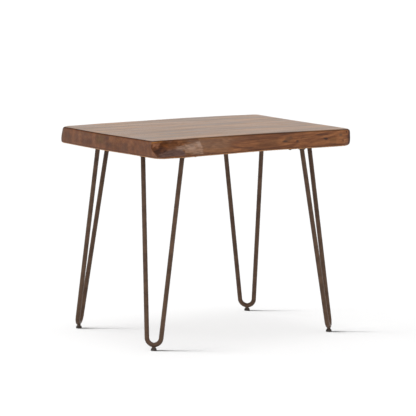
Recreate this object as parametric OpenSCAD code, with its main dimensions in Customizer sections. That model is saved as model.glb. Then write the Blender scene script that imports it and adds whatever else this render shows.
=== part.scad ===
// Side table: a live-edge hardwood top on four two-rod hairpin legs with levelling feet.
// Units are millimetres. The origin is on the floor, under the middle of the top.
// The length of the top runs along X and the front natural edge faces -Y.

/* [Table] */
// Height of the table, floor to top face
table_h = 559; // [420:1:760]

/* [Wooden top] */
// Length of the top, along the grain
top_w = 643.5; // [560:0.5:1100]
// Depth of the top, across the widest places of its natural edges
top_d = 517; // [460:1:800]
// Thickness of the top
top_t = 45; // [30:0.5:70]
// Rounding of the long top and bottom edges
arris_r = 5; // [1:0.5:7]
// Rounding of the four upright corners
corner_r = 9; // [4:0.5:20]
// Steepness of the natural edges: higher values hold the bulge lower down
edge_belly = 1.4; // [1:0.1:2.5]

/* [Hollow at the front left corner] */
// Length of the hollow, from the left end
hollow_len = 100; // [50:1:150]
// Greatest depth of the hollow behind the top edge
hollow_depth = 9; // [2:0.5:16]
// Height of the lip that is left under the hollow
lip_h = 22; // [12:0.5:25]
// Height of that lip at the end face, where it runs out
lip_end_h = 6; // [4:0.5:12]

/* [Legs] */
// How far the middle of each rod line lies in from the end of the top
leg_in_x = 93.5; // [70:0.5:140]
// How far the middle of each rod line lies in from the widest place of the natural edge
leg_in_y = 105; // [85:0.5:130]
// Shift of the leg pattern from the middle of the top, along X
legs_off_x = 4; // [-15:0.5:15]
// Shift of the leg pattern from the middle of the top, along Y
legs_off_y = 6; // [-15:0.5:15]
// How far the front left leg is turned from the table's diagonal, as it was screwed on
front_left_turn = -6; // [-10:0.5:10]
// Diameter of the leg rod
rod_d = 12.5; // [8:0.5:16]
// Distance between the two rods of a leg at the plate
rod_spread = 109.5; // [80:1:124]
// Bend radius at the foot, to the middle of the rod
bend_r = 20; // [14:0.5:32]
// How far each foot stands outside its rod line, along the table's diagonal
foot_out = 69; // [0:1:110]
// Size of the weld bead round each rod
weld = 4; // [2:0.5:6]

/* [Plates] */
// Thickness of the mounting plates
plate_t = 5; // [3:0.5:8]
// Rounding of the plate corners, which is also the margin round each screw
plate_margin = 13; // [10:0.5:16]
// Half the distance between the two end screws of a plate
end_screw_half = 81; // [76:1:95]
// How far the end screws lie inside the rod line
end_screw_in = 27; // [22:1:40]
// How far the tip screw lies outside the rod line
tip_screw_out = 23; // [20:1:30]
// Half the width of the cut tip, between the centres of its two rounded corners
tip_half = 31; // [20:1:36]

/* [Screws] */
// Diameter of the screw shanks
screw_d = 4; // [3:0.5:5]
// Length of the screws under the head
screw_len = 28; // [20:1:30]
// Diameter of the pan heads
head_d = 9; // [7:0.5:11]
// Height of the pan heads
head_h = 3.6; // [2.5:0.1:5]
// Clearance round the shank in the plate, on the radius
plate_hole_clear = 0.4; // [0.2:0.1:0.8]
// Clearance round the shank in the wood, on the radius
pilot_clear = 0.05; // [0.02:0.01:0.1]

/* [Levelling feet] */
// Diameter of the foot pads
pad_d = 16; // [14:0.5:30]
// Height of the foot pads
pad_h = 6.5; // [4.6:0.1:10]
// Thread diameter of the foot studs
stud_d = 6; // [5:0.5:7]
// Width across the flats of the hexagonal collar
collar_af = 10; // [9:0.5:13]
// Height of the hexagonal collar
collar_h = 2; // [1.5:0.5:6]
// Diameter of the flange that holds the stud in its pad
flange_d = 8; // [7:0.5:10]
// Thickness of that flange
flange_h = 1; // [0.6:0.1:1.4]
// Diameter of the stud's neck, where it leaves the pad
neck_d = 5; // [4:0.5:6]
// Thickness of the pad under the flange
pad_floor = 1.4; // [1:0.1:2]
// Flat seat welded under the bend, its height below the rod
seat_h = 0.5; // [0.3:0.1:2]
// Diameter of that seat
seat_d = 10; // [9:0.5:11.5]
// Running clearance of the stud in its thread and in the pad, on the radius
turn_clear = 0.05; // [0.01:0.01:0.1]
// Gap between flat faces that turn on each other
face_gap = 0.1; // [0.05:0.05:0.3]

/* [Hidden] */
$fn = 48;

CORNERS = ["front_left", "front_right", "back_right", "back_left"];
// Signs of X and Y at each corner, in the same order
SIGNS = [[-1, -1], [1, -1], [1, 1], [-1, 1]];
LEG_TURNS = [front_left_turn, 0, 0, 0];

// Middle of the rod lines, from the middle of the leg pattern
leg_x = top_w / 2 - leg_in_x;
leg_y = top_d / 2 - leg_in_y;
rod_r = rod_d / 2;
under_z = table_h - top_t;
plate_under_z = under_z - plate_t;

// Heights of the foot, from the floor up
collar_z = pad_h + face_gap;
seat_z = collar_z + collar_h + face_gap;
bend_z = seat_z + seat_h + rod_r;
stud_top_z = bend_z + rod_r - 0.5;

// The hairpin lies in one leaning plane, and its rods close in on the bend
fall = plate_under_z - bend_z;
lean = atan2(foot_out, fall);
drop = norm([fall, foot_out]) - bend_r;
half_spread = rod_spread / 2;
taper = acos(bend_r / norm([half_spread, drop])) - atan2(drop, half_spread);

// How far the straights run into the bend, and how much thicker the bend is, on the radius
bend_lap = 1;
bend_swell = 0.04;

// Screw places on a plate: X points out to the table's corner, Y along the rod line
SCREWS = [[-end_screw_in, end_screw_half], [-end_screw_in, -end_screw_half], [tip_screw_out, 0]];

// Natural edges. Each point is [place along the side, -1 to 1; distance in from the widest line].
front_low = [[-1, 5.5], [-0.7, 0], [-0.47, 7.5], [-0.23, 13.5], [0, 21], [0.28, 24], [0.6, 15],
    [0.88, 12], [1, 19]];
front_high = [[-1, 34], [-0.75, 36], [-0.5, 50], [-0.12, 48.5], [0.37, 43.5], [0.75, 30.5], [1, 20.5]];
back_low = [[-1, 29], [-0.62, 9], [-0.2, 5], [0.28, 0], [0.68, 7], [1, 18]];
back_high = [[-1, 32], [-0.8, 29.5], [-0.6, 24], [-0.19, 19], [0.28, 14], [0.68, 21], [1, 32]];
// Sawn ends, which were finished by hand and aren't quite straight
left_end = [[-1, 16.5], [-0.43, 10.5], [-0.04, 2.5], [0.31, 0], [1, 1.5]];
right_end = [[-1, 1], [-0.6, 0], [-0.1, 3], [0.4, 2.5], [1, 0]];

// Smooth curve through points whose X values rise. It never passes beyond the points themselves.
function slope(pts, i) =
    i == 0 || i == len(pts) - 1 ? 0 :
    let (before = pts[i][1] - pts[i - 1][1], after = pts[i + 1][1] - pts[i][1])
    before * after <= 0 ? 0 : (pts[i + 1][1] - pts[i - 1][1]) / (pts[i + 1][0] - pts[i - 1][0]);
function curve(pts, x) =
    let (
        last = len(pts) - 1,
        c = min(max(x, pts[0][0]), pts[last][0]),
        i = max([for (k = [0 : last - 1]) if (pts[k][0] <= c) k]),
        w = pts[i + 1][0] - pts[i][0],
        t = (c - pts[i][0]) / w
    )
    pts[i][1] * (1 + 2 * t) * pow(1 - t, 2) + w * slope(pts, i) * t * pow(1 - t, 2)
    + pts[i + 1][1] * t * t * (3 - 2 * t) + w * slope(pts, i + 1) * t * t * (t - 1);
function ease(t) = let (c = min(max(t, 0), 1)) c * c * (3 - 2 * c);
function mix(a, b, t) = a + (b - a) * t;

// Share of the way from the low edge to the high edge, at height z above the underside
function rise(z) = pow(max(z - arris_r, 0) / (top_t - arris_r), edge_belly);

// Ends: X of the end faces at a given Y
function left_x(y) = -top_w / 2 + curve(left_end, 2 * y / top_d);
function right_x(y) = top_w / 2 - curve(right_end, 2 * y / top_d);

// The hollow, at distance s from the left end: above a lip, the edge falls straight from its
// top line, and is scooped out behind it. At the end face the lip runs out in a long slope.
lip_top = min(lip_h, top_t / 2);
function lip_z(s) = curve([[0, max(lip_end_h, arris_r + 1)], [0.3, lip_top - 1], [0.6, lip_top + 1],
    [0.85, lip_top - 1], [1, lip_top - 7]], s / hollow_len);
function lip_round(s) =
    min(curve([[0, 20], [0.35, 7], [1, 7]], s / hollow_len), top_t - arris_r - lip_z(s) - 4);
function cut_share(s) = 1 - ease((s / hollow_len - 0.72) / 0.28);
function scoop(s, z) =
    let (l = lip_z(s), up = min(max((z - l) / (top_t - l), 0), 1))
    hollow_depth * curve([[0, 0], [0.3, 1], [0.6, 0.6], [1, 0]], s / hollow_len) * sin(180 * up);

// Natural edges: Y at place x and height z
function front_y(x, z) =
    let (
        u = 2 * x / top_w,
        high = curve(front_high, u),
        plain = mix(curve(front_low, u), high, rise(z)),
        s = x - left_x(-top_d / 2),
        cut = cut_share(s) * ease((z - lip_z(s)) / lip_round(s))
    )
    -top_d / 2 + mix(plain, high, cut) + scoop(s, z);
function back_y(x, z) =
    let (u = 2 * x / top_w)
    top_d / 2 - mix(curve(back_low, u), curve(back_high, u), rise(z));

// Rings round the top, from the underside up. Each has a height and a distance drawn in: first a
// rounded edge, then the side, then a rounded edge.
arris_steps = 2;
side_steps = 10;
lip_steps = 3;
LEVELS = concat(
    [for (i = [0 : arris_steps - 1]) let (a = 90 * i / arris_steps)
        [arris_r * (1 - cos(a)), arris_r * (1 - sin(a))]],
    [for (i = [0 : side_steps]) [mix(arris_r, top_t - arris_r, i / side_steps), 0]],
    [for (i = [arris_steps - 1 : -1 : 0]) let (a = 90 * i / arris_steps)
        [top_t - arris_r * (1 - cos(a)), arris_r * (1 - sin(a))]]
);
// Height of ring k at the hollow, where the rings on the side follow the lip
function lip_ring_z(k, s) =
    let (i = k - arris_steps, l = lip_z(s), round_h = lip_round(s))
    i <= 0 || i >= side_steps ? LEVELS[k][0]
    : i <= lip_steps ? mix(arris_r, l, i / lip_steps)
    : i == lip_steps + 1 ? l + round_h / 3
    : mix(l + round_h, top_t - arris_r, (i - lip_steps - 2) / (side_steps - lip_steps - 2));
function ring_z(k, s) = mix(lip_ring_z(k, s), LEVELS[k][0], ease((s / hollow_len - 0.8) / 0.5));

// Ring k as one closed loop of points
end_steps = 10;
back_steps = 24;
front_steps = 24;
hollow_steps = 20;
bend_steps = 4;
front_left_r = corner_r / 3;
function corner_arc(a, c, b) = [for (i = [0 : bend_steps])
    let (t = i / bend_steps) a * pow(1 - t, 2) + c * 2 * t * (1 - t) + b * t * t];
function front_point(k, x) =
    let (z = ring_z(k, x - left_x(-top_d / 2))) [x, front_y(x, z) + LEVELS[k][1], z];
function back_point(k, x) =
    let (z = LEVELS[k][0]) [x, back_y(x, z) - LEVELS[k][1], z];
function right_point(k, y) = [right_x(y) - LEVELS[k][1], y, LEVELS[k][0]];
function left_point(k, y, front_end) =
    let (away = (y - front_end) / hollow_len)
    [left_x(y) + LEVELS[k][1], y, mix(ring_z(k, 0), LEVELS[k][0], ease(away))];
function ring(k) =
    let (
        inset = LEVELS[k][1],
        r = corner_r,
        fl = let (p = front_point(k, left_x(-top_d / 2))) [left_x(p[1]) + inset, p[1], p[2]],
        fr = let (p = front_point(k, right_x(-top_d / 2))) [p[0] - inset, p[1], p[2]],
        br = let (p = back_point(k, right_x(top_d / 2))) [p[0] - inset, p[1], p[2]],
        bl = let (p = back_point(k, left_x(top_d / 2))) [p[0] + inset, p[1], p[2]],
        split = left_x(-top_d / 2) + hollow_len * 1.35,
        front_a = front_point(k, fl[0] + front_left_r),
        front_b = front_point(k, fr[0] - r),
        right_a = right_point(k, fr[1] + r),
        right_b = right_point(k, br[1] - r),
        back_a = back_point(k, br[0] - r),
        back_b = back_point(k, bl[0] + r),
        left_a = left_point(k, bl[1] - r, fl[1]),
        left_b = left_point(k, fl[1] + front_left_r, fl[1])
    )
    concat(
        corner_arc(left_b, fl, front_a),
        [for (i = [1 : hollow_steps]) front_point(k, mix(front_a[0], split, i / hollow_steps))],
        [for (i = [1 : front_steps - 1]) front_point(k, mix(split, front_b[0], i / front_steps))],
        corner_arc(front_b, fr, right_a),
        [for (i = [1 : end_steps - 1]) right_point(k, mix(right_a[1], right_b[1], i / end_steps))],
        corner_arc(right_b, br, back_a),
        [for (i = [1 : back_steps - 1]) back_point(k, mix(back_a[0], back_b[0], i / back_steps))],
        corner_arc(back_b, bl, left_a),
        [for (i = [1 : end_steps - 1])
            left_point(k, mix(left_a[1], left_b[1], i / end_steps), fl[1])]
    );

module slab() {
    rings = [for (k = [0 : len(LEVELS) - 1]) ring(k)];
    n = len(rings[0]);
    m = len(rings);
    sides = [for (k = [0 : m - 2]) for (i = [0 : n - 1]) let (j = (i + 1) % n)
        each [[k * n + i, (k + 1) * n + i, (k + 1) * n + j], [k * n + i, (k + 1) * n + j, k * n + j]]];
    bottom = [for (i = [0 : n - 1]) i];
    top = [for (i = [n - 1 : -1 : 0]) (m - 1) * n + i];
    polyhedron([for (r = rings) each r], concat(sides, [bottom, top]));
}

// Puts a leg's pieces at corner i: X points out to the corner, Z = 0 is the underside of the top
module at_leg(i) {
    s = SIGNS[i];
    translate([s[0] * leg_x + legs_off_x, s[1] * leg_y + legs_off_y, under_z])
        rotate([0, 0, atan2(s[1], s[0]) + LEG_TURNS[i]])
        children();
}

// Puts a foot's pieces at corner i, with Z = 0 on the floor
module at_foot(i) {
    at_leg(i) translate([foot_out, 0, -under_z]) children();
}

module tabletop() {
    color("#7d553c")
    difference() {
        translate([0, 0, under_z]) slab();
        for (i = [0 : 3])
            at_leg(i)
                for (p = SCREWS)
                    translate([p[0], p[1], -1])
                        cylinder(r = screw_d / 2 + pilot_clear, h = screw_len - plate_t + 2);
    }
}

// Convex outline with round corners: true arcs, joined by their tangents
module round_outline(pts, r) {
    n = len(pts);
    for (p = pts) translate(p) circle(r = r);
    polygon([for (i = [0 : n - 1])
        let (a = pts[i], b = pts[(i + 1) % n], d = (b - a) / norm(b - a), out = [d[1], -d[0]] * r)
        each [a + out, b + out]]);
}

module plate(i) {
    color("#4a3d35")
    at_leg(i)
        translate([0, 0, -plate_t])
        difference() {
            linear_extrude(plate_t)
                round_outline([
                    [-end_screw_in, -end_screw_half], [tip_screw_out, -tip_half],
                    [tip_screw_out, tip_half], [-end_screw_in, end_screw_half]
                ], plate_margin);
            for (p = SCREWS)
                translate([p[0], p[1], -1])
                    cylinder(r = screw_d / 2 + plate_hole_clear, h = plate_t + 2);
        }
}

// One rod bent to a V, in the YZ plane, with its middle line going down from the origin.
// The straights run a little way into the bend, which is a hair thicker where it was worked.
module bent_rod() {
    reach = (drop + bend_r * sin(taper)) / cos(taper);
    for (side = [-1, 1])
        translate([0, side * bend_r * cos(taper), -drop - bend_r * sin(taper)])
            rotate([-side * taper, 0, 0])
            translate([0, 0, -bend_lap])
            cylinder(r = rod_r, h = reach + 2 * rod_r);
    translate([0, 0, -drop])
        rotate([90, 0, 90])
        rotate([0, 0, taper - 180])
        rotate_extrude(angle = 180 - 2 * taper)
        translate([bend_r, 0]) circle(r = rod_r + bend_swell);
}

// Weld bead round a rod, against the underside of the plate
module bead() {
    rotate_extrude()
        polygon([[rod_r - 1, 0], [rod_r + weld, 0], [rod_r + weld * 0.75, -weld * 0.45],
            [rod_r + weld * 0.2, -weld], [rod_r - 1, -weld]]);
}

module hairpin(i) {
    color("#62503f")
    at_leg(i)
        difference() {
            union() {
                difference() {
                    translate([0, 0, -plate_t]) rotate([0, -lean, 0]) bent_rod();
                    translate([-rod_spread, -rod_spread, -plate_t]) cube(2 * rod_spread);
                }
                for (side = [-1, 1])
                    translate([0, side * half_spread, -plate_t]) bead();
                translate([foot_out, 0, seat_z - under_z])
                    cylinder(d = seat_d, h = bend_z - seat_z);
            }
            translate([foot_out, 0, seat_z - under_z - 1])
                cylinder(r = stud_d / 2 + turn_clear, h = rod_d + seat_h + 3);
        }
}

// Pan-head wood screw, head down, with its seat at Z = 0
module wood_screw() {
    point_h = screw_d;
    slot_w = head_d * 0.14;
    slot_l = head_d * 0.55;
    cylinder(d = screw_d, h = screw_len - point_h);
    translate([0, 0, screw_len - point_h]) cylinder(d1 = screw_d, d2 = screw_d * 0.2, h = point_h);
    difference() {
        translate([0, 0, -head_h])
            rotate_extrude()
            intersection() {
                square([head_d / 2, head_h]);
                translate([0, head_d * 0.75]) circle(r = head_d * 0.75 + 0.001);
            }
        for (a = [0, 90])
            rotate([0, 0, a])
            translate([-slot_l / 2, -slot_w / 2, -head_h - 1])
            cube([slot_l, slot_w, head_h * 0.5 + 1]);
    }
}

module screws(i) {
    color("#51463d")
    at_leg(i)
        for (p = SCREWS)
            translate([p[0], p[1], -plate_t]) wood_screw();
}

// Stud of a levelling foot: flange and neck in the pad, hexagonal collar, thread in the bend
module stud(i) {
    flange_z = pad_floor + face_gap;
    color("#6b6660")
    at_foot(i) {
        translate([0, 0, flange_z]) cylinder(d = flange_d, h = flange_h);
        translate([0, 0, flange_z]) cylinder(d = neck_d, h = collar_z - flange_z + 1);
        translate([0, 0, collar_z]) cylinder(r = collar_af / sqrt(3), h = collar_h, $fn = 6);
        translate([0, 0, collar_z]) cylinder(d = stud_d, h = stud_top_z - collar_z);
    }
}

// Round moulded pad that the stud turns in
module pad(i) {
    r = pad_d / 2;
    edge = 0.8;
    shoulder = 1.6;
    neck_r = neck_d / 2 + turn_clear;
    pocket_r = flange_d / 2 + turn_clear;
    pocket_top = pad_floor + flange_h + 2 * face_gap;
    color("#3b3029")
    at_foot(i)
        rotate_extrude()
        polygon([[0, 0], [r - edge, 0], [r, edge], [r - shoulder / 8, pad_h * 0.6],
            [r - shoulder / 2, pad_h - shoulder / 3], [r - shoulder, pad_h], [neck_r, pad_h], [neck_r, pocket_top], [pocket_r, pocket_top],
            [pocket_r, pad_floor], [0, pad_floor]]);
}

tabletop();
for (i = [0 : 3]) {
    plate(i);
    hairpin(i);
    screws(i);
    stud(i);
    pad(i);
}
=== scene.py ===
import math

import bpy
import numpy as np
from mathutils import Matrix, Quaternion, Vector, noise


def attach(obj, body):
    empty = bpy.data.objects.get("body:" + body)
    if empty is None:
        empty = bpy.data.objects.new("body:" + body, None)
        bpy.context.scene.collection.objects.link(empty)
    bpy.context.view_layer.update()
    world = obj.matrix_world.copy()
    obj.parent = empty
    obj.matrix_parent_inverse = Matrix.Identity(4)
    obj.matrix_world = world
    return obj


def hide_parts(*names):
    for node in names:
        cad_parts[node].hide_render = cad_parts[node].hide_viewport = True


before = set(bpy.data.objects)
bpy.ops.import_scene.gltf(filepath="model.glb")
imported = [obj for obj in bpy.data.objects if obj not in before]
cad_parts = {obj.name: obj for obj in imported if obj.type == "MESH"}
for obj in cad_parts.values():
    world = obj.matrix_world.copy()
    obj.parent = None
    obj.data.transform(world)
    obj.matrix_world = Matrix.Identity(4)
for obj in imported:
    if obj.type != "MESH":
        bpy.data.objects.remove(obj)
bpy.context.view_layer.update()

MM = 0.001

# Driving sizes as the part's source has them, in millimetres, and turns in degrees
TABLE_H = 559.0
TOP_W = 643.5
TOP_D = 517.0
TOP_T = 45.0
ARRIS_R = 5.0
CORNER_R = 9.0
EDGE_BELLY = 1.4
HOLLOW_LEN = 100.0
HOLLOW_DEPTH = 9.0
LIP_H = 22.0
LIP_END_H = 6.0
LEG_IN_X = 93.5
LEG_IN_Y = 105.0
LEGS_OFF = (4.0, 6.0)
LEG_TURNS = {"front_left": -6.0}
ROD_R = 6.25
ROD_SPREAD = 109.5
BEND_R = 20.0
FOOT_OUT = 69.0
WELD = 4.0
PLATE_T = 5.0
PAD_R = 8.0
PAD_H = 6.5
STUD_R = 3.0
COLLAR_AF = 10.0
COLLAR_H = 2.0
FLANGE_R = 4.0
FLANGE_H = 1.0
NECK_R = 2.5
PAD_FLOOR = 1.4
FACE_GAP = 0.1
TURN_CLEAR = 0.05
SEAT_H = 0.5
STUD_SUNK = 0.5

# Helix of the studs, which are plain cylinders in the source
THREAD_PITCH = 1.0
THREAD_DEPTH = 0.5

# Places that follow from those sizes: the legs, heights above the floor, and the side of X and Y
# that each corner is on
LEG_X = TOP_W / 2 - LEG_IN_X
LEG_Y = TOP_D / 2 - LEG_IN_Y
UNDER_Z = TABLE_H - TOP_T
PLATE_UNDER_Z = UNDER_Z - PLATE_T
COLLAR_Z = PAD_H + FACE_GAP
SEAT_Z = COLLAR_Z + COLLAR_H + FACE_GAP
BEND_Z = SEAT_Z + SEAT_H + ROD_R
STUD_TOP_Z = BEND_Z + ROD_R - STUD_SUNK
CORNERS = {
    "front_left": (-1, -1),
    "front_right": (1, -1),
    "back_right": (1, 1),
    "back_left": (-1, 1),
}

# Outlines of the slab: place along the side from -1 to 1, and distance in from the widest line
FRONT_LOW = [(-1, 5.5), (-0.7, 0), (-0.47, 7.5), (-0.23, 13.5), (0, 21), (0.28, 24), (0.6, 15),
             (0.88, 12), (1, 19)]
FRONT_HIGH = [(-1, 34), (-0.75, 36), (-0.5, 50), (-0.12, 48.5), (0.37, 43.5), (0.75, 30.5), (1, 20.5)]
BACK_LOW = [(-1, 29), (-0.62, 9), (-0.2, 5), (0.28, 0), (0.68, 7), (1, 18)]
BACK_HIGH = [(-1, 32), (-0.8, 29.5), (-0.6, 24), (-0.19, 19), (0.28, 14), (0.68, 21), (1, 32)]
LEFT_END = [(-1, 16.5), (-0.43, 10.5), (-0.04, 2.5), (0.31, 0), (1, 1.5)]
RIGHT_END = [(-1, 1), (-0.6, 0), (-0.1, 3), (0.4, 2.5), (1, 0)]

# The hollow, by the share of its length from the left end: height of the lip, height of the turn
# above it, depth of the scoop, and where the cut begins to run out and over how much
LIP = [(0, LIP_END_H), (0.3, LIP_H - 1), (0.6, LIP_H + 1), (0.85, LIP_H - 1), (1, LIP_H - 7)]
LIP_ROUND = [(0, 20), (0.35, 7), (1, 7)]
SCOOP = [(0, 0), (0.3, 1), (0.6, 0.6), (1, 0)]
RUN_OUT_FROM = 0.72
RUN_OUT_OVER = 0.28


# Curves that the slab is made of

def curve(points, x):
    """Smooth curve through points that never passes beyond the points themselves."""
    xs, ys = np.array(points, float).T
    steps = np.diff(ys)
    slopes = np.zeros(len(xs))
    slopes[1:-1] = np.where(steps[:-1] * steps[1:] > 0, (ys[2:] - ys[:-2]) / (xs[2:] - xs[:-2]), 0)
    x = np.clip(x, xs[0], xs[-1])
    i = np.clip(np.searchsorted(xs, x, side="right") - 1, 0, len(xs) - 2)
    w = xs[i + 1] - xs[i]
    t = (x - xs[i]) / w
    return (ys[i] * (1 + 2 * t) * (1 - t) ** 2 + w * slopes[i] * t * (1 - t) ** 2
            + ys[i + 1] * t * t * (3 - 2 * t) + w * slopes[i + 1] * t * t * (t - 1))


def ease(t):
    """Smooth step from 0 to 1."""
    t = np.clip(t, 0, 1)
    return t * t * (3 - 2 * t)


def mix(a, b, t):
    return a + (b - a) * t


def rise(z):
    """Share of the way from a long edge's low outline to its high one."""
    return (np.maximum(z - ARRIS_R, 0) / (TOP_T - ARRIS_R)) ** EDGE_BELLY


def left_x(y):
    return -TOP_W / 2 + curve(LEFT_END, 2 * y / TOP_D)


def right_x(y):
    return TOP_W / 2 - curve(RIGHT_END, 2 * y / TOP_D)


HOLLOW_START = float(left_x(-TOP_D / 2))


def lip_z(s):
    return curve(LIP, s / HOLLOW_LEN)


def lip_round(s):
    """Height over which the edge turns back above the lip. It is long where the lip runs out."""
    return curve(LIP_ROUND, s / HOLLOW_LEN)


def hollow_share(s, z):
    """1 where the edge is cut back above the lip, 0 on the plain edge."""
    along = 1 - ease((s / HOLLOW_LEN - RUN_OUT_FROM) / RUN_OUT_OVER)
    return along * ease((z - lip_z(s)) / lip_round(s))


def scoop(s, z):
    """Depth of the scoop behind the cut-back edge."""
    up = np.clip((z - lip_z(s)) / (TOP_T - lip_z(s)), 0, 1)
    return HOLLOW_DEPTH * curve(SCOOP, s / HOLLOW_LEN) * np.sin(np.pi * up)


def front_y(x, z):
    u = 2 * x / TOP_W
    high = curve(FRONT_HIGH, u)
    plain = mix(curve(FRONT_LOW, u), high, rise(z))
    s = x - HOLLOW_START
    return -TOP_D / 2 + mix(plain, high, hollow_share(s, z)) + scoop(s, z)


def back_y(x, z):
    u = 2 * x / TOP_W
    return TOP_D / 2 - mix(curve(BACK_LOW, u), curve(BACK_HIGH, u), rise(z))


# Rings round the slab, from the underside up: height and distance drawn in. In the hollow they
# follow the lip and the turn above it. From LEVEL_FROM of its length on they come back to level.
ARRIS_STEPS = 4
SIDE_STEPS = 18
LIP_STEPS = 6
TURN_STEPS = 3
LEVEL_FROM = 0.8
LEVEL_OVER = 0.5
ARC = [math.pi / 2 * i / ARRIS_STEPS for i in range(ARRIS_STEPS)]
LEVELS = (
    [(ARRIS_R * (1 - math.cos(a)), ARRIS_R * (1 - math.sin(a))) for a in ARC]
    + [(mix(ARRIS_R, TOP_T - ARRIS_R, i / SIDE_STEPS), 0.0) for i in range(SIDE_STEPS + 1)]
    + [(TOP_T - ARRIS_R * (1 - math.cos(a)), ARRIS_R * (1 - math.sin(a))) for a in reversed(ARC)]
)


def lip_ring_z(k, s):
    """Height of ring k in the hollow, where the rings follow the lip."""
    i = k - ARRIS_STEPS
    lip, turn = lip_z(s), lip_round(s)
    if i <= 0 or i >= SIDE_STEPS:
        return np.full_like(lip, LEVELS[k][0])
    if i <= LIP_STEPS:
        return mix(ARRIS_R, lip, i / LIP_STEPS)
    if i <= LIP_STEPS + TURN_STEPS:
        return lip + turn * (i - LIP_STEPS) / TURN_STEPS
    above = LIP_STEPS + TURN_STEPS
    return mix(lip + turn, TOP_T - ARRIS_R, (i - above) / (SIDE_STEPS - above))


def ring_z(k, s):
    return mix(lip_ring_z(k, s), LEVELS[k][0], ease((s / HOLLOW_LEN - LEVEL_FROM) / LEVEL_OVER))


# Steps of a ring round half a corner and along each side. They are shorter in the hollow and past
# it up to SPLIT, which is placed in lengths of the hollow. The corner at the hollow is sharper.
CORNER_STEPS = 5
HOLLOW_STATIONS = 64
LONG_STATIONS = 170
END_STATIONS = 104
SPLIT_AT = 1.35
SPLIT = HOLLOW_START + SPLIT_AT * HOLLOW_LEN
FRONT_LEFT_R = CORNER_R / 3


def bend(a, tip, b, steps):
    """Points of a round from a to b, drawn towards the sharp tip between them."""
    t = np.linspace(0, 1, steps + 1)[:, None]
    return a * (1 - t) ** 2 + tip * 2 * t * (1 - t) + b * t * t


def front_side(k, x):
    """Points of ring k on the front, at each x. The other three sides have a function like it."""
    z = ring_z(k, x - HOLLOW_START)
    return np.stack([x, front_y(x, z) + LEVELS[k][1], z], 1)


def back_side(k, x):
    level, inset = LEVELS[k]
    z = np.full_like(x, level)
    return np.stack([x, back_y(x, z) - inset, z], 1)


def right_side(k, y):
    level, inset = LEVELS[k]
    return np.stack([right_x(y) - inset, y, np.full_like(y, level)], 1)


def left_side(k, y, front_end):
    """The left end, where a ring leaves the lip at its front end and runs level further back."""
    level, inset = LEVELS[k]
    z = mix(ring_z(k, np.zeros_like(y)), level, ease((y - front_end) / HOLLOW_LEN))
    return np.stack([left_x(y) + inset, y, z], 1)


def sharp_corners(k):
    """Corners of ring k before rounding: front left, front right, back right and back left."""
    inset = np.array([LEVELS[k][1], 0, 0])
    front_left = front_side(k, np.array([HOLLOW_START]))[0]
    front_left[0] = left_x(front_left[1]) + inset[0]
    front_right = front_side(k, np.array([right_x(-TOP_D / 2)]))[0] - inset
    back_right = back_side(k, np.array([right_x(TOP_D / 2)]))[0] - inset
    back_left = back_side(k, np.array([left_x(TOP_D / 2)]))[0] + inset
    return front_left, front_right, back_right, back_left


def ring(k):
    """Ring k as four runs of points, each from the middle of one corner to the middle of the next."""
    tips = sharp_corners(k)
    fl, fr, br, bl = tips
    front_a, front_b = fl[0] + FRONT_LEFT_R, fr[0] - CORNER_R
    along = np.concatenate([
        np.linspace(front_a, SPLIT, HOLLOW_STATIONS, endpoint=False),
        np.linspace(SPLIT, front_b, LONG_STATIONS + 1),
    ])
    shares = (along - front_a) / (front_b - front_a)
    back_along = mix(bl[0] + CORNER_R, br[0] - CORNER_R, shares)
    right_along = np.linspace(fr[1] + CORNER_R, br[1] - CORNER_R, END_STATIONS + 1)
    left_along = np.linspace(fl[1] + FRONT_LEFT_R, bl[1] - CORNER_R, END_STATIONS + 1)
    sides = [
        front_side(k, along),
        right_side(k, right_along),
        back_side(k, back_along)[::-1],
        left_side(k, left_along, fl[1])[::-1],
    ]
    arcs = [bend(sides[i - 1][-1], tips[i], sides[i][0], 2 * CORNER_STEPS) for i in range(4)]
    return [
        np.concatenate([arcs[i][CORNER_STEPS:-1], sides[i], arcs[(i + 1) % 4][1:CORNER_STEPS + 1]])
        for i in range(4)
    ]


def patch_grid(runs):
    """Grid of points that fills the flat face inside four runs (a Coons patch)."""
    low, high = runs[0], runs[2][::-1]
    near, far = runs[3][::-1], runs[1]
    u = np.linspace(0, 1, len(low))[:, None, None]
    v = np.linspace(0, 1, len(near))[None, :, None]
    across = mix(low[:, None], high[:, None], v)
    along = mix(near[None], far[None], u)
    flat = mix(mix(low[0], high[0], v), mix(low[-1], high[-1], v), u)
    return across + along - flat


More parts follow.
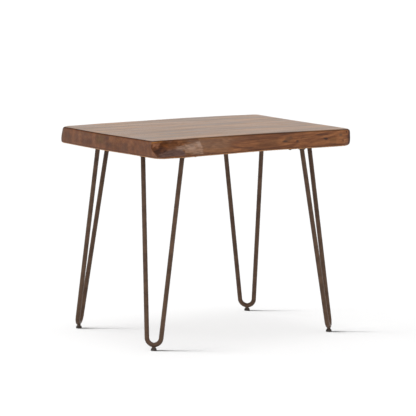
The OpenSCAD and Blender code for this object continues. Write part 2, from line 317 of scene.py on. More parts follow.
# Marks on the wood: outline in millimetres, softness of the border, linear colour and strength.
# On the front edge an outline is distance from the left end and height above the underside. On the
# left end it is Y and that height. Later marks lie over earlier ones.
BARK_BROWN = (0.125, 0.043, 0.015)
# Painted shadow for the undercut above the lip
UNDERCUT_SHADOW = (0.090, 0.030, 0.012)
AMBER = (0.400, 0.160, 0.042)
ROSE = (0.390, 0.165, 0.085)
# Wood colour lightened by painted sheen, for the up-facing ledge
LEDGE_SHEEN_GREY = (0.110, 0.058, 0.046)
PLUM = (0.088, 0.032, 0.023)
# Painted sheen where the edge faces up: a lighter brown and a pale grey-brown
SHEEN_BROWN = (0.275, 0.150, 0.090)
PALE_SHEEN = (0.330, 0.215, 0.158)
OLIVE = (0.165, 0.072, 0.022)
FRONT_MARKS = [
    ([(140, 2), (140, 46), (215, 46), (250, 30), (225, 2)], 24.0, (0.310, 0.155, 0.080), 0.62),
    ([(-4, 8), (8, 8), (30, 21), (60, 23), (86, 22), (94, 30), (110, 38), (150, 38), (152, 46),
      (-4, 46)], 2.0, BARK_BROWN, 0.95),
    ([(34, 36), (66, 24), (96, 30), (94, 46), (34, 46)], 3.0, (0.160, 0.062, 0.024), 0.85),
    ([(92, 37), (150, 38), (152, 43), (96, 43)], 2.5, (0.110, 0.044, 0.014), 0.70),
    # Painted sheen: the grey-brown top of the lip, which faces up
    ([(6, 9), (14, 14), (36, 22), (60, 24), (76, 23), (84, 16), (88, 4), (6, 3)], 1.5, LEDGE_SHEEN_GREY, 0.90),
    ([(-2, 39), (34, 37), (40, 40), (30, 43), (-2, 44)], 1.5, AMBER, 0.90),
    ([(4, 28), (22, 28), (33, 33), (31, 38), (4, 38)], 2.0, ROSE, 0.90),
    ([(40, 27), (53, 27), (54, 34), (44, 37), (36, 34)], 2.0, (0.200, 0.066, 0.018), 0.80),
    # Painted highlight on the hollow wall
    ([(54, 36), (62, 35), (66, 40), (58, 42)], 2.0, (0.240, 0.115, 0.070), 0.55),
    ([(36, 37), (55, 36), (55, 44), (37, 43)], 3.0, (0.240, 0.098, 0.040), 0.75),
    # Painted shadow: a dark red band and two near-black lines where the lip's edge shades the
    # undercut
    ([(1, 9), (12, 13), (30, 22), (42, 27), (42, 29), (24, 25), (3, 17)], 1.5, UNDERCUT_SHADOW, 0.85),
    ([(2, 8), (6, 9), (30, 21), (36, 24), (20, 20), (3, 12)], 1.0, (0.022, 0.006, 0.004), 0.90),
    ([(2, 16), (26, 24), (44, 29), (28, 28), (2, 20)], 1.0, (0.026, 0.008, 0.005), 0.75),
    # Painted sheen on the lip's crest and on the flared edge past the hollow, which faces up
    ([(35, 22), (62, 24), (62, 25), (36, 23)], 1.0, SHEEN_BROWN, 0.20),
    ([(62, 23.5), (92, 30), (94, 24), (82, 19)], 1.5, PALE_SHEEN, 0.60),
    ([(84, 12), (108, 7), (142, 6), (148, 20), (151, 36), (125, 35), (98, 33), (88, 24)],
     3.0, SHEEN_BROWN, 0.88),
    ([(88, 21), (104, 18), (122, 20), (124, 27), (108, 31), (94, 29)], 4.5, PALE_SHEEN, 0.55),
    ([(137, 24), (147, 26), (151, 36), (138, 35)], 2.0, PALE_SHEEN, 0.60),
    ([(80, 5), (88, 5), (106, 6), (108, 11), (84, 11)], 2.5, (0.150, 0.058, 0.022), 0.70),
    ([(222, 32), (222, 42), (300, 40), (332, 37), (300, 31)], 6.0, (0.320, 0.145, 0.066), 0.50),
    ([(264, 8), (300, 8), (314, 14), (270, 15)], 5.0, (0.150, 0.062, 0.034), 0.45),
    ([(300, 8), (318, 6), (330, 26), (398, 34), (392, 8)], 16.0, (0.120, 0.042, 0.016), 0.55),
    ([(402, 19), (428, 20), (444, 28), (440, 36), (424, 33), (412, 24)],
     4.0, (0.120, 0.055, 0.028), 0.55),
    ([(462, 26), (504, 28), (500, 31), (468, 32)], 2.0, (0.100, 0.036, 0.015), 0.50),
    ([(512, 33), (552, 32), (550, 36), (520, 37)], 1.8, (0.085, 0.026, 0.014), 0.65),
    ([(532, 8), (572, 7), (570, 11), (540, 11)], 1.8, (0.080, 0.028, 0.014), 0.60),
    ([(552, 14), (572, 14), (574, 26), (552, 26)], 3.0, (0.260, 0.105, 0.032), 0.55),
    ([(350, 22), (372, 23), (372, 26), (350, 25)], 1.8, (0.280, 0.105, 0.045), 0.50),
    ([(614, 2), (640, 2), (640, 46), (616, 43)], 2.0, (0.060, 0.018, 0.012), 0.80),
]
END_MARKS = [
    ([(222, 1), (211, 1), (204, 20), (200, 44), (222, 44)], 4.5, (0.130, 0.050, 0.016), 0.68),
    ([(202, 6), (160, 5), (160, 30), (196, 40)], 10.5, (0.125, 0.055, 0.028), 0.48),
    ([(156, 10), (122, 14), (126, 34), (148, 33)], 9.0, (0.235, 0.096, 0.046), 0.53),
    ([(122, 35), (60, 34), (56, 41), (118, 42)], 4.5, (0.205, 0.080, 0.025), 0.58),
    ([(112, 9), (50, 8), (52, 26), (72, 30), (106, 28)], 12.0, (0.098, 0.033, 0.016), 0.53),
    ([(120, 25), (108, 25), (108, 31), (118, 31)], 4.5, (0.190, 0.046, 0.022), 0.48),
    ([(36, 14), (-4, 18), (-8, 42), (34, 41)], 9.0, OLIVE, 0.68),
    ([(-8, 30), (-30, 30), (-32, 42), (-10, 42)], 6.0, PLUM, 0.58),
    ([(-6, 12), (-44, 8), (-48, 28), (-12, 28)], 9.0, (0.092, 0.035, 0.018), 0.58),
    ([(-50, 26), (-84, 26), (-80, 42), (-62, 42)], 6.0, (0.270, 0.098, 0.030), 0.68),
    ([(-46, 10), (-80, 8), (-78, 20), (-50, 22)], 7.5, (0.120, 0.054, 0.020), 0.48),
    ([(-84, 8), (-116, 6), (-114, 30), (-86, 30)], 7.5, (0.105, 0.042, 0.026), 0.58),
    ([(-128, 10), (-150, 12), (-152, 34), (-134, 32)], 9.0, (0.165, 0.064, 0.022), 0.48),
    ([(-156, 6), (-168, 6), (-160, 22), (-154, 20)], 4.5, PLUM, 0.48),
    ([(-166, 16), (-190, 6), (-196, 12), (-178, 34), (-164, 36)], 4.5, (0.245, 0.100, 0.048), 0.43),
    ([(-196, 6), (-206, 6), (-204, 42), (-192, 42)], 3.8, PLUM, 0.43),
    ([(-208, 8), (-224, 6), (-222, 34), (-208, 34)], 6.0, (0.220, 0.088, 0.036), 0.43),
    ([(-211, 38), (-224, 37), (-224, 44), (-213, 44)], 2.2, ROSE, 0.58),
]

# Noise that bends the borders of the marks: feature sizes along X, Y and Z, and how far it moves a
# border along the side and up
WANDER_SIZES = (9, 9, 5)
WANDER_SEEDS = (6, 7)
FRONT_WANDER = (5.0, 2.5)
END_WANDER = (12.0, 6.0)

# How far apart in the noise the places of two neighbouring seeds are
SEED_STEP = (17.0, 5.0, 11.0)

# Lines round the slab at its flat faces: distance from the face at which the line begins, distance
# over which it comes up, linear colour and strength
TOP_LINE = (2.8, 1.6, (0.055, 0.017, 0.009), 0.95)
BOTTOM_LINE = (6.5, 2.0, (0.125, 0.040, 0.010), 0.90)
# The bright rim on the bottom arris is painted bounce light
BOUNCE_RIM = (3.0, 1.5, (0.400, 0.172, 0.052), 0.90)

# Dull places: how far they fade past the hollow, and the height and the distance below the top
# face where they begin, each with the distance over which they come up
DULL_FADE = 20.0
DULL_FROM_Z, DULL_OVER_Z = 6.0, 4.0
DULL_ARRIS, DULL_ARRIS_OVER = 5.0, 2.0

# The ledge on top of the lip: how far from the left end it begins and ends
LEDGE_FROM = 1.0
LEDGE_TO = 1.2 * HOLLOW_LEN


def cover(points, outline, soft):
    """1 well inside the outline, 0 well outside it, with a soft border."""
    corners = np.array(outline, float)
    ahead = np.roll(corners, -1, axis=0)
    nearest = np.full(len(points), np.inf)
    inside = np.zeros(len(points), bool)
    for a, b in zip(corners, ahead):
        t = np.clip(((points - a) @ (b - a)) / ((b - a) @ (b - a)), 0, 1)
        nearest = np.minimum(nearest, np.linalg.norm(points - (a + t[:, None] * (b - a)), axis=1))
        spans = (a[1] > points[:, 1]) != (b[1] > points[:, 1])
        if a[1] != b[1]:
            crossing = a[0] + (points[:, 1] - a[1]) * (b[0] - a[0]) / (b[1] - a[1])
            inside ^= spans & (points[:, 0] < crossing)
    return ease(0.5 + np.where(inside, nearest, -nearest) / (2 * soft))


def paint(points, shares):
    """Colour and strength of the marks at each point, as RGBA."""
    tint = np.zeros((len(points), 4))
    z = points[:, 2]

    def lay(share, colour):
        tint[:, :3] = mix(tint[:, :3], np.array(colour), share[:, None])
        tint[:, 3] = mix(tint[:, 3], 1.0, share)

    wander = np.stack([uneven(points, WANDER_SIZES, seed) - 0.5 for seed in WANDER_SEEDS], 1)
    on_front = np.stack([points[:, 0] - HOLLOW_START, z], 1) + wander * FRONT_WANDER
    on_left = np.stack([points[:, 1], z], 1) + wander * END_WANDER
    for side, place, marks in (("front", on_front, FRONT_MARKS), ("left", on_left, END_MARKS)):
        for outline, soft, colour, strength in marks:
            lay(strength * shares[side] * cover(place, outline, soft), colour)
    for side, away, (begins, over, colour, strength) in (
        ("beside_top", TOP_T - z, TOP_LINE),
        ("beside_bottom", z, BOTTOM_LINE),
        # painted bounce light on the bottom arris
        ("beside_bottom", z, BOUNCE_RIM),
    ):
        lay(strength * shares[side] * ease((begins - away) / over), colour)
    return tint


def dulled(points, shares):
    """1 where the surface is dull: on the top arris and in the hollow. 0 elsewhere."""
    z = points[:, 2]
    past = points[:, 0] - HOLLOW_START - HOLLOW_LEN
    in_hollow = (1 - ease(past / DULL_FADE)) * ease((z - DULL_FROM_Z) / DULL_OVER_Z)
    on_arris = ease((z - TOP_T + DULL_ARRIS) / DULL_ARRIS_OVER)
    return np.maximum(shares["front"] * in_hollow, shares["beside_top"] * on_arris)


def uneven(points, sizes, seed):
    """Smooth noise from 0 to 1 at each point. Sizes are those of its features along each axis."""
    shift = seed * Vector(SEED_STEP)
    scaled = points / np.array(sizes)
    return np.array([0.5 + 0.5 * noise.noise(Vector(p) + shift) for p in scaled])


def hollow_ledge(s, points):
    """1 on the top of the lip under the hollow, which faces up like the top face."""
    low = points[:, 2] < TOP_T - 2 * ARRIS_R
    in_front = points[:, 1] < -TOP_D / 4
    return (low & in_front & (s > LEDGE_FROM) & (s < LEDGE_TO)).astype(float)


# How far the corners of the slab are worn back, by their side of X and Y: height at which the
# corner's place is taken, then height above the underside and distance
WORN = {
    (-1, -1): (0.0, [(0, 9), (3, 5), (6, 1.5), (10, 0), (45, 0)]),
    (-1, 1): (22.5, [(0, 2.5), (9, 1.2), (20, 1.8), (30, 3.6), (38, 5.4), (42, 7), (45, 10)]),
    (1, -1): (22.5, [(0, 4), (5, 2), (12, 0.4), (34, 0.2), (41, 1.2), (45, 3.5)]),
    (1, 1): (22.5, [(0, 3), (5, 1.5), (12, 0.6), (34, 0.6), (41, 2), (45, 4)]),
}
WORN_REACH = 26.0


def worn_corners(points):
    """Move of each point towards the middle of the slab near the worn corners."""
    move = np.zeros_like(points)
    for (sx, sy), (level, profile) in WORN.items():
        across = left_x(sy * TOP_D / 2) if sx < 0 else right_x(sy * TOP_D / 2)
        along = front_y(across, level) if sy < 0 else back_y(across, level)
        away = np.hypot(points[:, 0] - across, points[:, 1] - along)
        pull = curve(profile, points[:, 2]) * (1 - ease(away / WORN_REACH))
        move[:, 0] -= sx * pull * math.sqrt(0.5)
        move[:, 1] -= sy * pull * math.sqrt(0.5)
    return move


def mesh_object(name, points, faces, smooth=True):
    mesh = bpy.data.meshes.new(name)
    mesh.from_pydata([tuple(p) for p in points], [], faces)
    mesh.update()
    if smooth:
        mesh.polygons.foreach_set("use_smooth", [True] * len(mesh.polygons))
    piece = bpy.data.objects.new(name, mesh)
    bpy.context.scene.collection.objects.link(piece)
    return piece


def quad_rows(rows, sides):
    """Faces between closed rows of points, each row with the same number of points."""
    faces = []
    for k in range(rows - 1):
        a, b = k * sides, (k + 1) * sides
        faces += [(a + i, a + (i + 1) % sides, b + (i + 1) % sides, b + i) for i in range(sides)]
    return faces


def flat_face(grid_shape, start, count, first_inner):
    """Quads of a flat face: the ring of count points from start on, and the grid's inner points."""
    nu, nv = grid_shape
    ids = np.zeros((nu, nv), int)
    ids[:, 0] = start + np.arange(nu)
    ids[-1, :] = start + nu - 1 + np.arange(nv)
    ids[::-1, -1] = start + nu + nv - 2 + np.arange(nu)
    ids[0, ::-1] = start + (2 * nu + nv - 3 + np.arange(nv)) % count
    ids[0, 0] = start
    ids[1:-1, 1:-1] = first_inner + np.arange((nu - 2) * (nv - 2)).reshape(nu - 2, nv - 2)
    quads = np.stack([ids[:-1, :-1], ids[1:, :-1], ids[1:, 1:], ids[:-1, 1:]], -1)
    return [tuple(q) for q in quads.reshape(-1, 4).tolist()]


def slab_mesh():
    """Points and faces of the slab: the rings from the underside up, then its two flat faces."""
    rings = [ring(k) for k in range(len(LEVELS))]
    loops = [np.concatenate([run[:-1] for run in runs]) for runs in rings]
    count = len(loops[0])
    points = list(np.concatenate(loops))
    faces = quad_rows(len(loops), count)
    for k in (0, len(loops) - 1):
        grid = patch_grid(rings[k])
        quads = flat_face(grid.shape[:2], k * count, count, len(points))
        faces += quads if k else [q[::-1] for q in quads]
        points += list(grid[1:-1, 1:-1].reshape(-1, 3))
    return np.array(points), faces


# Sides of the slab: how squarely a surface has to face each one, 0 to 1, before it has a share in
# that side, and over how much the share comes up
FACING = {
    "front": (0.1, 0.4),
    "left": (0.5, 0.3),
    "edges": (0.1, 0.4),
    "ends": (0.4, 0.4),
    "top": (0.5, 0.4),
    "flat_top": (0.90, 0.08),
    "flat_bottom": (0.93, 0.06),
}

# Relief that is cut into the slab: side, depth, feature sizes along X, Y and Z, and seed. The
# underside, up to LEVEL_BELOW, stays flat.
RELIEF = [
    ("edges", 0.9, (45, 18, 14), 1),
    ("edges", 0.4, (12, 6, 5), 2),
    ("ends", 0.5, (30, 26, 20), 3),
    ("top", 0.35, (90, 34, 30), 4),
    ("hollow", 1.6, (9, 5, 4), 5),
]
LEVEL_BELOW = 0.01


def side_shares(points, normals):
    """Share of each point, 0 to 1, in each side of the slab and in the hollow."""
    x, y, z = normals.T
    square = {"front": -y, "left": -x, "edges": np.abs(y), "ends": np.abs(x),
              "top": z, "flat_top": z, "flat_bottom": -z}
    shares = {side: ease((square[side] - begins) / over) for side, (begins, over) in FACING.items()}
    s = points[:, 0] - HOLLOW_START
    shares["front"] = np.maximum(shares["front"] * (points[:, 1] < 0), hollow_ledge(s, points))
    shares["hollow"] = hollow_share(s, points[:, 2]) * shares["front"]
    shares["beside_top"] = 1 - shares["flat_top"]
    shares["beside_bottom"] = 1 - shares["flat_bottom"]
    return shares


def slab():
    """The top: its relief is cut into the smooth form, and its marks are kept as attributes."""
    points, faces = slab_mesh()
    lift = np.array([0, 0, UNDER_Z])
    piece = mesh_object("top_slab", (points + lift) * MM, faces)
    normals = np.zeros(len(points) * 3, np.float32)
    piece.data.vertices.foreach_get("normal", normals)
    normals = normals.reshape(-1, 3)
    shares = side_shares(points, normals)
    cuts = [shares[side] * deep * uneven(points, sizes, seed) for side, deep, sizes, seed in RELIEF]
    depth = sum(cuts)
    depth[points[:, 2] < LEVEL_BELOW] = 0
    place = (points - normals * depth[:, None] + worn_corners(points) + lift) * MM
    piece.data.vertices.foreach_set("co", place.astype(np.float32).ravel())
    tint = piece.data.color_attributes.new(name="tint", type="FLOAT_COLOR", domain="POINT")
    tint.data.foreach_set("color", paint(points, shares).astype(np.float32).ravel())
    dull = piece.data.attributes.new(name="dull", type="FLOAT", domain="POINT")
    dull.data.foreach_set("value", dulled(points, shares).astype(np.float32))
    piece.data.update()
    return piece


# Legs: places and small pieces

# Stud: points round each piece, rows of points to a turn of the thread, and the collar's chamfer,
# the thread's run-out at its end and the rounding of neck and flange
COLLAR_SIDES = 72
THREAD_SIDES = 32
NECK_SIDES = 48
THREAD_ROWS = 8
CHAMFER = 0.5
THREAD_RUN_OUT = 1.0
NECK_ROUND = 0.15

# Pad: points round it, its roundings and bevels, the share of its height where the side bends in,
# and the shallow dish underneath
PAD_SIDES = 72
PAD_ROUND = 0.35
PAD_EDGE = 0.8
PAD_SHOULDER = 1.6
SHOULDER_FALL = 0.5
SIDE_BENDS_AT = 0.6
DISH_H = 0.25
DISH_R = PAD_R - 3.2
DISH_SLOPE = 0.3

# Weld beads: points round each and rows of points, drop in sizes of WELD, swell past that size, lap
# into the rod, power that makes the section full, and the ripples round each bead
BEAD_SIDES = 120
BEAD_ROWS = 9
BEAD_DROP = 1.08
BEAD_SWELL = 0.45
BEAD_LAP = 0.3
BEAD_FULLNESS = 0.85
RIPPLES = 17
RIPPLE_SHIFT = 0.9
RIPPLE_DEPTH = 0.35


def at_leg(name):
    """Middle of a leg's rod line, and the directions out to the corner and along the rod line."""
    sx, sy = CORNERS[name]
    turn = math.atan2(sy, sx) + math.radians(LEG_TURNS.get(name, 0.0))
    out = np.array([math.cos(turn), math.sin(turn), 0])
    along = np.array([-math.sin(turn), math.cos(turn), 0])
    middle = np.array([sx * LEG_X + LEGS_OFF[0], sy * LEG_Y + LEGS_OFF[1], 0.0])
    return middle, out, along


def foot_place(name):
    middle, out, _ = at_leg(name)
    return middle + out * FOOT_OUT


# Lean of a leg from upright and taper of its rods towards each other, worked out as in the source
FALL = PLATE_UNDER_Z - BEND_Z
LEAN = math.atan2(FOOT_OUT, FALL)
DROP = math.hypot(FALL, FOOT_OUT) - BEND_R
TAPER = math.acos(BEND_R / math.hypot(ROD_SPREAD / 2, DROP)) - math.atan2(DROP, ROD_SPREAD / 2)


def turned(radius, angle, z):
    """Point at a radius, an angle and a height about the axis of a turned piece."""
    return (radius * math.cos(angle), radius * math.sin(angle), z)


def end_caps(rows, sides):
    """Flat faces that close the first and the last of some rows of points."""
    return [tuple(range(sides - 1, -1, -1)), tuple(range((rows - 1) * sides, rows * sides))]


def lathe(profile, sides):
    """Closed solid of revolution from (radius, height) points, the first and last on the axis."""
    points = [turned(r, 2 * math.pi * i / sides, z) for r, z in profile[1:-1] for i in range(sides)]
    bottom, top = len(points), len(points) + 1
    last = bottom - sides
    points += [turned(0, 0, profile[0][1]), turned(0, 0, profile[-1][1])]
    faces = quad_rows(len(profile) - 2, sides)
    for i in range(sides):
        j = (i + 1) % sides
        faces += [(bottom, j, i), (top, last + i, last + j)]
    return points, faces


def rounded(profile, radius, steps=3):
    """Profile with each inner point rounded. A round takes under half of each line beside it."""
    least_parts = 2.2
    out = [profile[0]]
    for before, here, after in zip(profile, profile[1:], profile[2:]):
        tip = np.array(here, float)
        ends = []
        for other in (before, after):
            line = np.array(other, float) - tip
            length = np.linalg.norm(line)
            ends.append(tip + line / length * min(radius, length / least_parts))
        out += [tuple(p) for p in bend(ends[0], tip, ends[1], steps)]
    return out + [profile[-1]]


def joined(parts):
    """Points and faces of several meshes as one."""
    points, faces = [], []
    for part_points, part_faces in parts:
        start = len(points)
        points += part_points
        faces += [tuple(i + start for i in f) for f in part_faces]
    return points, faces


def placed(points, centre):
    """Points moved to a centre, in metres."""
    return (np.array(points, float) + np.array(centre)) * MM


def hexagon_collar():
    """Hexagonal collar with chamfered corners: a hexagon cut by a shallow cone at each end."""
    across = COLLAR_AF / 2
    end_r, widest = across * 0.96, across * 1.12
    limits = [(0, end_r), (CHAMFER, widest), (COLLAR_H - CHAMFER, widest), (COLLAR_H, end_r)]
    points = []
    for z, limit in limits:
        for i in range(COLLAR_SIDES):
            a = 2 * math.pi * i / COLLAR_SIDES
            flat = across / math.cos((a + math.pi / 6) % (math.pi / 3) - math.pi / 6)
            points.append(turned(min(flat, limit), a, COLLAR_Z + z))
    rows = len(limits)
    return points, quad_rows(rows, COLLAR_SIDES) + end_caps(rows, COLLAR_SIDES)


def thread():
    """Threaded rod from inside the collar up to its end, with a helical thread."""
    z0, z1 = COLLAR_Z + COLLAR_H / 2, STUD_TOP_Z
    rows = int((z1 - z0) / THREAD_PITCH * THREAD_ROWS) + 1
    points = []
    for k in range(rows):
        z = mix(z0, z1, k / (rows - 1))
        fade = float(ease((z1 - z) / THREAD_RUN_OUT))
        for i in range(THREAD_SIDES):
            turn = i / THREAD_SIDES
            tooth = abs(2 * ((z / THREAD_PITCH - turn) % 1.0) - 1)
            r = (STUD_R - THREAD_DEPTH) + THREAD_DEPTH * tooth * fade
            points.append(turned(r, 2 * math.pi * turn, z))
    return points, quad_rows(rows, THREAD_SIDES) + end_caps(rows, THREAD_SIDES)


def foot_stud(name):
    flange_z = PAD_FLOOR + FACE_GAP
    flange_top = flange_z + FLANGE_H
    neck_top = COLLAR_Z + COLLAR_H / 2
    neck = lathe(rounded([
        (0, flange_z), (FLANGE_R, flange_z), (FLANGE_R, flange_top),
        (NECK_R, flange_top), (NECK_R, neck_top), (0, neck_top),
    ], NECK_ROUND, 2), NECK_SIDES)
    points, faces = joined([neck, hexagon_collar(), thread()])
    return mesh_object("foot_stud_" + name, placed(points, foot_place(name)), faces, smooth=False)


def foot_pad(name):
    neck_r = NECK_R + TURN_CLEAR
    pocket_r = FLANGE_R + TURN_CLEAR
    pocket_top = PAD_FLOOR + FLANGE_H + 2 * FACE_GAP
    profile = rounded([
        (0, DISH_H), (DISH_R, DISH_H), (DISH_R + DISH_SLOPE, 0), (PAD_R - PAD_EDGE, 0),
        (PAD_R, PAD_EDGE), (PAD_R - PAD_SHOULDER / 8, SIDE_BENDS_AT * PAD_H),
        (PAD_R - PAD_SHOULDER / 2, PAD_H - SHOULDER_FALL), (PAD_R - PAD_SHOULDER, PAD_H),
        (neck_r, PAD_H), (neck_r, pocket_top),
        (pocket_r, pocket_top), (pocket_r, PAD_FLOOR), (0, PAD_FLOOR),
    ], PAD_ROUND)
    points, faces = lathe(profile, PAD_SIDES)
    return mesh_object("foot_pad_" + name, placed(points, foot_place(name)), faces)


def weld_bead(name, side):
    """Rippled weld bead where one of a leg's rods, on side -1 or 1, meets the plate."""
    middle, out, along = at_leg(name)
    rod = middle + side * along * ROD_SPREAD / 2
    down = out * math.tan(LEAN) - side * along * math.tan(TAPER)
    points = []
    for k in range(BEAD_ROWS):
        turn = math.pi / 2 * k / (BEAD_ROWS - 1)
        sink = BEAD_DROP * WELD * math.sin(turn)
        for i in range(BEAD_SIDES):
            a = 2 * math.pi * i / BEAD_SIDES
            ripple = abs(math.sin(RIPPLES * a / 2 + RIPPLE_SHIFT * side)) * math.cos(turn) ** 0.5
            width = WELD + BEAD_SWELL - RIPPLE_DEPTH * ripple
            r = ROD_R - BEAD_LAP + width * math.cos(turn) ** BEAD_FULLNESS
            p = rod + down * sink + (out * math.cos(a) + along * math.sin(a)) * r
            points.append((p[0], p[1], PLATE_UNDER_Z - sink))
    return points, [quad[::-1] for quad in quad_rows(BEAD_ROWS, BEAD_SIDES)]


def weld_beads(name):
    points, faces = joined([weld_bead(name, side) for side in (-1, 1)])
    return mesh_object("weld_beads_" + name, placed(points, (0, 0, 0)), faces)


# Materials

class Graph:
    """One material's nodes, with short names for what the materials here use."""

    def __init__(self, name):
        self.material = bpy.data.materials.new(name)
        self.material.use_nodes = True
        self.tree = self.material.node_tree
        self.shader = self.tree.nodes["Principled BSDF"]
        self.place = self.node("ShaderNodeTexCoord").outputs["Object"]

    def node(self, kind, **settings):
        made = self.tree.nodes.new(kind)
        for key, value in settings.items():
            setattr(made, key, value)
        return made

    def put(self, socket, value):
        """Feeds a socket with another one, or sets it to a constant."""
        if isinstance(value, bpy.types.NodeSocket):
            self.tree.links.new(value, socket)
        elif socket.type == "RGBA":
            socket.default_value = (*value, 1)
        else:
            socket.default_value = value

    def math(self, operation, a, b=0.0, c=0.0):
        made = self.node("ShaderNodeMath", operation=operation)
        for socket, value in zip(made.inputs, (a, b, c)):
            self.put(socket, value)
        return made.outputs[0]

    def total(self, first, *others):
        """Sum of some values, each given with its weight."""
        found = self.math("MULTIPLY", *first)
        for value, weight in others:
            found = self.math("MULTIPLY_ADD", value, weight, found)
        return found

    def swayed(self, value, by, reach):
        """A value moved up and down by a noise from 0 to 1."""
        return self.math("MULTIPLY_ADD", self.math("SUBTRACT", by, 0.5), reach, value)

    def vector(self, operation, a, b=(0, 0, 0)):
        made = self.node("ShaderNodeVectorMath", operation=operation)
        self.put(made.inputs[0], a)
        self.put(made.inputs[1], b)
        return made.outputs["Value" if operation in ("LENGTH", "DISTANCE") else "Vector"]

    def noise(self, where, detail=2.0, roughness=0.5, dimensions="3D", output="Fac"):
        made = self.node("ShaderNodeTexNoise", noise_dimensions=dimensions)
        self.put(made.inputs["W" if dimensions == "1D" else "Vector"], where)
        made.inputs["Scale"].default_value = 1
        made.inputs["Detail"].default_value = detail
        made.inputs["Roughness"].default_value = roughness
        return made.outputs[output]

    def stretch(self, scale, where=None):
        return self.vector("MULTIPLY", where or self.place, scale)

    def band(self, value, low, high, to_low=0.0, to_high=1.0):
        """A smooth step from to_low to to_high while the value goes from low to high."""
        made = self.node("ShaderNodeMapRange", interpolation_type="SMOOTHSTEP")
        for socket, part in zip(made.inputs, (value, low, high, to_low, to_high)):
            self.put(socket, part)
        return made.outputs[0]

    def blend(self, share, a, b, kind="MIX"):
        """Colour a under a share of colour b. The node's colour sockets are at 6, 7 and 2."""
        made = self.node("ShaderNodeMix", data_type="RGBA", blend_type=kind)
        self.put(made.inputs[0], share)
        self.put(made.inputs[6], a)
        self.put(made.inputs[7], b)
        return made.outputs[2]

    def cloudy(self, colour, by, least, most):
        """A colour made darker and lighter by a noise: it is multiplied by least to most."""
        return self.blend(1.0, colour, self.band(by, 0.3, 0.7, least, most), "MULTIPLY")

    def ramp(self, value, stops):
        """Colour by a value, from (place, colour) stops."""
        made = self.node("ShaderNodeValToRGB")
        self.put(made.inputs[0], value)
        elements = made.color_ramp.elements
        while len(elements) < len(stops):
            elements.new(0.5)
        for element, (at, colour) in zip(elements, stops):
            element.position = at
            element.color = (*colour, 1)
        return made.outputs[0]

    def bump(self, height, strength, distance):
        made = self.node("ShaderNodeBump")
        made.inputs["Strength"].default_value = strength
        made.inputs["Distance"].default_value = distance
        self.put(made.inputs["Height"], height)
        self.put(self.shader.inputs["Normal"], made.outputs[0])

    def set(self, name, value):
        self.put(self.shader.inputs[name], value)


# Knots on the front edge: distance from the left end, height above the underside, radius, stretch
# along the grain, linear colour and strength
KNOTS = [
    (416, 22, 2.8, 3.2, (0.045, 0.020, 0.012), 0.85),
    (453, 21, 3.0, 1.4, (0.050, 0.022, 0.012), 0.85),
    (541, 22.5, 2.8, 2.4, (0.022, 0.009, 0.007), 0.95),
    (590, 31, 3.4, 1.6, (0.080, 0.042, 0.028), 0.70),
    (595, 16, 2.8, 1.0, (0.085, 0.020, 0.008), 0.85),
    (610, 38.5, 2.8, 0.8, (0.050, 0.012, 0.007), 0.95),
]

# In radii of a knot: how far from it the growth rings are bent, how far they are pushed out at its
# middle, and where its colour begins and stops fading. Then how far its border frays, in metres.
KNOT_REACH = 5
KNOT_PUSH = 0.5
KNOT_FADES = (0.5, 1.5)
KNOT_FRAY = 3 * MM

# Middle of the growth rings: Y, and height above the underside
PITH_Y = -122.0
PITH_UP = 8.0
PITH = (0, PITH_Y * MM, (UNDER_Z + PITH_UP) * MM)

# Noises of the wood: features per metre along X, Y and Z, with the grain along X, and growth rings
# per metre. DRIFT is how far the slow drift bends the grain, in metres.
DRIFT_SCALE = (1.6, 7, 7)
FIBRE_SCALE = (15, 290, 290)
STREAK_SCALE = (5, 70, 70)
BROAD_SCALE = (4, 30, 30)
PORE_SCALE = (55, 1000, 1000)
MOTTLE_SCALE = (40, 40, 60)
MARK_NOISE_SCALE = (60, 220, 260)
RING_SCALE = 55
DRIFT = (0, 0.035, 0.018)

# Stain from the darkest tone of the grain to the palest, in linear colours
SIDE_STAIN = [
    (0.38, (0.067, 0.021, 0.007)),
    (0.46, (0.138, 0.046, 0.016)),
    (0.53, (0.216, 0.079, 0.027)),
    (0.62, (0.345, 0.145, 0.056)),
]
TOP_STAIN = [
    (0.38, (0.140, 0.057, 0.018)),
    (0.46, (0.200, 0.088, 0.027)),
    (0.53, (0.262, 0.120, 0.037)),
    (0.62, (0.335, 0.160, 0.053)),
]
END_STAIN = [
    (0.36, (0.118, 0.039, 0.016)),
    (0.50, (0.170, 0.059, 0.023)),
    (0.64, (0.230, 0.090, 0.036)),
]
PORE_STAIN = (0.030, 0.012, 0.007)
END_STRENGTH = 0.85
PORE_STRENGTH = 0.45

# Where the end grain, the top and the pores begin and are whole, and the least and the most that
# the top's stain and the marks are multiplied by
END_BORDER = (0.55, 0.85)
TOP_BORDER = (0.75, 0.95)
PORE_BORDER = (0.60, 0.72)
TOP_CLOUDS = (0.60, 1.40)
MARK_CLOUDS = (0.70, 1.30)

# Gloss: roughness of the top, the sides and the dull places, and how far the grain changes it
TOP_ROUGH = 0.34
SIDE_ROUGH = 0.50
DULL_ROUGH = 0.9
GRAIN_ROUGH = 0.06
WOOD_IOR = 1.33

# Paint and plastic: features per metre, how far worn paint is duller and glossier than its plain
# roughness, and the least and the most roughness of the plastic
CLOUD_SCALE = (45, 45, 45)
MOULD_SCALE = (500, 500, 500)
DULLER, GLOSSIER = 0.07, 0.05
PLASTIC_ROUGH = (0.62, 0.75)
PAINT_IOR = 1.38


def knot_place(s, z):
    """Middle of a knot on the front edge, in metres."""
    x = s + HOLLOW_START
    return (x * MM, float(front_y(x, z)) * MM, (UNDER_Z + z) * MM)


def growth_rings(g, bent):
    """Noise by the distance from the pith. Each knot pushes the rings outward."""
    pushed = 0.0
    for s, z, size, _, _, _ in KNOTS:
        away = g.vector("DISTANCE", g.place, knot_place(s, z))
        push = g.band(away, 0.0, KNOT_REACH * size * MM, KNOT_PUSH * size * MM, 0.0)
        pushed = g.math("ADD", pushed, push)
    across = g.vector("MULTIPLY", g.vector("SUBTRACT", bent, PITH), (0, 1, 1))
    radius = g.math("ADD", g.vector("LENGTH", across), pushed)
    around = g.math("MULTIPLY", radius, RING_SCALE)
    return g.noise(around, detail=4, roughness=0.7, dimensions="1D")


